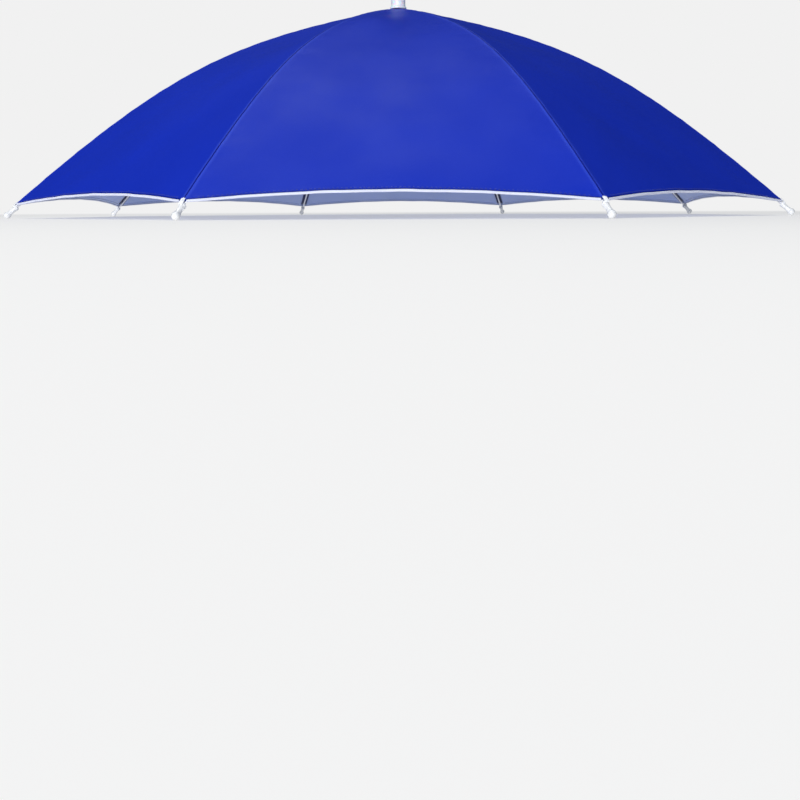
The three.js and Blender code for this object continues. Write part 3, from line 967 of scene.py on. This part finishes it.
def make_ferrule(look):
    """The whitish peg on the crown, with a flared foot on the cloth and a rounded top."""
    low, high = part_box("ferrule")
    foot, top, bottom = high.x, high.z, low.z
    bore, bore_height = 3.3 * MM, 16 * MM
    dome_radius, dome_height = 5.2 * MM, 2.6 * MM
    dome = [
        (dome_radius * math.cos(a), top - dome_height + dome_height * math.sin(a))
        for a in np.linspace(0.15, math.pi / 2, 10)
    ]
    outside = rounded(
        [
            (bore, bottom + 3 * MM), (bore, bottom), (foot + 0.9 * MM, bottom - 0.5 * MM),
            (foot + 0.9 * MM, bottom + 1.1 * MM), (foot, bottom + 1.7 * MM),
            (foot - 0.35 * MM, bottom + 5.5 * MM), (foot - 0.05 * MM, bottom + 6.0 * MM),
            (foot - 0.05 * MM, bottom + 7.2 * MM), (foot - 0.45 * MM, bottom + 7.7 * MM), dome[0],
        ],
        0.5 * MM,
    )
    profile = [(0, bottom + bore_height), (bore, bottom + bore_height), *outside, *dome[1:]]
    shape = add_turned(Shape(), profile, sides=64)
    piece = shape.object("crown_peg", [look], "white_plastic", weld=True)
    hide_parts("ferrule")


def make_headband(look):
    """The elastic band: an oval ring of ribbed knit with slightly wavy edges."""
    low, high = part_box("headband")
    half_width, half_length = high.x, high.y
    height = high.z - low.z
    thickness, skin = 2 * MM, 0.15 * MM
    around, rows, wales = 1120, 14, 224
    wale_height, edge_rounding, edge_width = 0.22 * MM, 0.25 * MM, 1.6 * MM
    wave_height, wave_share = 0.35 * MM, 1.2
    angle = np.linspace(0, 2 * np.pi, around, endpoint=False)[None, :]
    level = np.linspace(0, 1, rows + 1)[:, None]
    edge = smoothstep(np.minimum(level, 1 - level) * height / edge_width + 0.25)
    rib = wale_height * np.cos(wales * angle) * edge
    draw = np.random.default_rng(7)
    wave = 0 * angle
    for cycles in (5, 9, 14):
        wave = wave + wave_height * np.sin(cycles * angle + draw.uniform(0, 2 * np.pi))
    heights = low.z + level * height + wave * (level - 0.5) * wave_share

    def face(inset, swell):
        a, b = half_width - inset, half_length - inset
        normal = np.stack([np.cos(angle) / a, np.sin(angle) / b], -1)
        normal /= np.linalg.norm(normal, axis=-1)[..., None]
        x = a * np.cos(angle) + normal[..., 0] * swell
        y = b * np.sin(angle) + normal[..., 1] * swell
        return np.stack([x, y, heights + 0 * x], -1)

    outer = face(skin, rib - edge_rounding * (1 - edge))
    inner = face(thickness - skin, -rib + edge_rounding * (1 - edge))
    count = (rows + 1) * around
    low_edge = np.arange(around)
    low_next = (low_edge + 1) % around
    top_edge, top_next = low_edge + rows * around, low_next + rows * around
    faces = np.concatenate(
        [
            grid_faces(rows, around, wrap=True),
            grid_faces(rows, around, count, wrap=True, flip=True),
            np.stack([low_edge + count, low_next + count, low_next, low_edge], -1),
            np.stack([top_edge, top_next, top_next + count, top_edge + count], -1),
        ]
    )
    shape = Shape().add(both_faces(outer, inner), faces)
    piece = shape.object("knit_headband", [look], "elastic_band")
    spread = np.broadcast_to(angle * (half_width + half_length) / 2, (rows + 1, around))
    set_uv(piece.data, np.stack([spread, spread]), np.stack([heights + 0 * angle] * 2))
    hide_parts("headband")


def strap_foot(number):
    """The point where a strap leaves the band, in its rib's frame, and the band's lean there."""
    off_band = 0.3 * MM + STRAP_THICKNESS / 2
    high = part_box("headband")[1]
    azimuth = rib_azimuth(number)
    ray = np.array([math.cos(azimuth), math.sin(azimuth)])
    reach = 1 / math.hypot(ray[0] / high.x, ray[1] / high.y)
    outward = np.array([ray[0] / high.x**2, ray[1] / high.y**2])
    lean = math.atan2(outward[1], outward[0]) - math.atan2(ray[1], ray[0])
    lean = (lean + math.pi) % (2 * math.pi) - math.pi
    foot = np.array([reach + off_band * math.cos(lean), off_band * math.sin(lean), high.z])
    return foot, lean


def make_strap(number, look):
    """A tape from the headband up to a loop round its stretcher."""
    rows, lap_rows, columns, loop_steps = 46, 12, 8, 28
    loop_inside, loop_outside = 1.25 * MM, 2.05 * MM
    foot, lean = strap_foot(number)
    start, end = stretcher_line()
    share = (STRAP_RADIUS - start[0]) / (end[0] - start[0])
    bar = start + (end - start) * share
    head = bar - np.array([0, 0, (loop_inside + loop_outside) / 2])
    side = np.linspace(-1, 1, columns + 1)
    half_thickness = STRAP_THICKNESS / 2 * (1 - 0.5 * np.abs(side) ** 6)
    outer, inner = [], []
    for i in range(rows + 1):
        lap = min(i / lap_rows, 1)
        rise = max((i - lap_rows) / (rows - lap_rows), 0)
        turn = (1 - float(smoothstep(rise))) * (math.pi / 2 + lean)
        widthways = np.array([math.cos(turn), math.sin(turn), 0])
        thickways = np.array([math.sin(turn), -math.cos(turn), 0])
        centre = foot + (head - foot) * rise - np.array([0, 0, STRAP_LAP * (1 - lap)])
        line = centre + np.outer(side * STRAP_WIDTH / 2, widthways)
        outer.append(line + np.outer(half_thickness, thickways))
        inner.append(line - np.outer(half_thickness, thickways))
    shape = Shape().add(both_faces(outer, inner), np.concatenate(sheet_faces(rows, columns)))

    along = (end - start) / np.linalg.norm(end - start)
    level = np.array([0, 1.0, 0])
    across = np.cross(along, level)
    near, far = -along * STRAP_WIDTH / 2, along * STRAP_WIDTH / 2
    loop = []
    for angle in 2 * math.pi * np.arange(loop_steps) / loop_steps:
        spoke = math.cos(angle) * level + math.sin(angle) * across
        loop += [bar + spoke * loop_inside + near, bar + spoke * loop_inside + far]
        loop += [bar + spoke * loop_outside + far, bar + spoke * loop_outside + near]
    shape.add(loop, ring_faces(loop_steps, 4))
    shape.turn(rib_azimuth(number))
    piece = shape.object(f"strap_tape_{number}", [look], "elastic_band", smooth=False)
    on_tape = np.tile(side, 2 * (rows + 1)) * STRAP_WIDTH / 2
    sideways = np.concatenate([on_tape, np.zeros(len(loop))])
    set_uv(piece.data, sideways, np.concatenate(shape.points)[:, 2])
    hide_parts(f"band_strap_{number}")


def make_strap_stitches(number, look):
    """A box of stitches with a cross in it, where a strap is sewn to the band."""
    shape = Shape()
    foot, lean = strap_foot(number)
    widthways = np.array([-math.sin(lean), math.cos(lean), 0])
    thickways = np.array([math.cos(lean), math.sin(lean), 0])
    # In millimetres, sideways and up from the strap's foot
    stitch = 1.6
    corners = [(-3.6, -2), (3.6, -2), (3.6, -11), (-3.6, -11), (-3.6, -2)]
    lines = [*zip(corners, corners[1:]), (corners[0], corners[2]), (corners[1], corners[3])]
    for (x0, z0), (x1, z1) in lines:
        count = max(2, round(math.hypot(x1 - x0, z1 - z0) / stitch))
        for k in range(count):
            path = []
            for t, rise in ((0.08, -0.15), (0.3, 0.12), (0.7, 0.12), (0.92, -0.15)):
                run = (k + t) / count
                place = widthways * (x0 + (x1 - x0) * run) * MM
                place = place + np.array([0, 0, (z0 + (z1 - z0) * run) * MM])
                path.append(foot + place + thickways * (STRAP_THICKNESS / 2 + rise * MM))
            add_tube(shape, turned(np.array(path), rib_azimuth(number)), STITCH_RADIUS, sides=5)
    shape.object(f"strap_stitches_{number}", [look], "elastic_band")


def soften(node, look):
    """Gives a CAD node its finish, with its sharp edges eased by a modifier."""
    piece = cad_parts[node]
    piece.data.materials.clear()
    piece.data.materials.append(look)
    bevel = piece.modifiers.new("eased_edges", "BEVEL")
    bevel.width = EASED_EDGE
    bevel.segments = 3
    bevel.limit_method = "ANGLE"
    bevel.angle_limit = math.radians(28)


def make_floor():
    corners = [(-1, -1, 0), (1, -1, 0), (1, 1, 0), (-1, 1, 0)]
    mesh = bpy.data.meshes.new("floor")
    mesh.from_pydata((np.array(corners) * FLOOR_REACH).tolist(), [], [(0, 1, 2, 3)])
    mesh.materials.append(floor_look())
    floor = bpy.data.objects.new("floor", mesh)
    bpy.context.scene.collection.objects.link(floor)


def add_lamp(name, place, power):
    """A soft round lamp that faces the hat."""
    data = bpy.data.lights.new(name, "AREA")
    data.shape = "DISK"
    data.size = LAMP_SIZE
    data.energy = power
    lamp = bpy.data.objects.new(name, data)
    lamp.location = place
    lamp.rotation_mode = "QUATERNION"
    lamp.rotation_quaternion = (Vector(LAMP_TARGET) - Vector(place)).to_track_quat("-Z", "Y")
    bpy.context.scene.collection.objects.link(lamp)


def light_studio():
    """Soft light, most of it from the front, before a pale backdrop."""
    world = bpy.data.worlds.new("studio")
    world.use_nodes = True
    tree = world.node_tree
    background = tree.nodes["Background"]
    seen = tree.nodes.new("ShaderNodeLightPath").outputs["Is Camera Ray"]
    strength = tree.nodes.new("ShaderNodeMapRange")
    strength.inputs[3].default_value = AMBIENT
    strength.inputs[4].default_value = BACKDROP
    tree.links.new(seen, strength.inputs[0])
    tree.links.new(strength.outputs[0], background.inputs["Strength"])
    tint = tree.nodes.new("ShaderNodeMix")
    tint.data_type = "RGBA"
    tint.inputs[6].default_value = AMBIENT_COLOR
    tint.inputs[7].default_value = WHITE
    tree.links.new(seen, tint.inputs[0])
    tree.links.new(tint.outputs[2], background.inputs["Color"])
    bpy.context.scene.world = world
    for lamp in LAMPS:
        add_lamp(**lamp)


def add_camera():
    """The photo's camera, but just above the floor."""
    data = bpy.data.cameras.new("camera")
    data.sensor_width = SENSOR
    data.lens = SENSOR * FOCAL_PIXELS / FRAME_PIXELS
    data.clip_start = 0.002
    data.clip_end = 60
    camera = bpy.data.objects.new("camera", data)
    right = CAMERA_DISTANCE * math.sin(CAMERA_TURN)
    back = CAMERA_DISTANCE * math.cos(CAMERA_TURN)
    turn = Matrix.Rotation(CAMERA_TURN, 4, "Z") @ Matrix.Rotation(math.pi / 2 - PITCH, 4, "X")
    place = Matrix.Translation((right, -back, CAMERA_HEIGHT))
    camera.matrix_world = place @ turn @ Matrix.Rotation(ROLL, 4, "Z")
    bpy.context.scene.collection.objects.link(camera)
    bpy.context.scene.camera = camera


outside = cloth_outside_look()
inside = cloth_inside_look()
seam_cloth_in_shade = seam_strip_look()
binding = binding_look()
blue_thread = thread_look("thread_blue", (0.004, 0.014, 0.16), (0.012, 0.04, 0.36))
white_thread = thread_look("thread_white", (0.74, 0.76, 0.82), (0.90, 0.91, 0.93))
tip_plastic = plastic_look(
    "plastic_white", (0.78, 0.79, 0.81), 0.30, Coat_Weight=0.3, Coat_Roughness=0.15
)
peg_plastic = plastic_look(
    "plastic_milky", (0.84, 0.85, 0.92), 0.28, Subsurface_Weight=0.4, Subsurface_Scale=2 * MM
)
wire = wire_look()
knit = elastic_look()

for number in range(1, PANELS + 1):
    cloth, cloth_area = make_panel(number, outside, inside)
    hem = make_binding(number, binding)
    stitches = make_stitches(number, blue_thread)
    strip = make_seam_strip(number, seam_cloth_in_shade)
    make_rib(number, wire)
    make_tip(number, tip_plastic)
    make_tip_thread(number, white_thread)
    make_stretcher(number, wire)
    make_strap(number, knit)
    make_strap_stitches(number, white_thread)

make_ferrule(peg_plastic)
make_headband(knit)
soften("crown_hub", tip_plastic)
soften("runner", tip_plastic)

make_floor()
light_studio()
add_camera()
bpy.context.scene.view_settings.view_transform = "Standard"
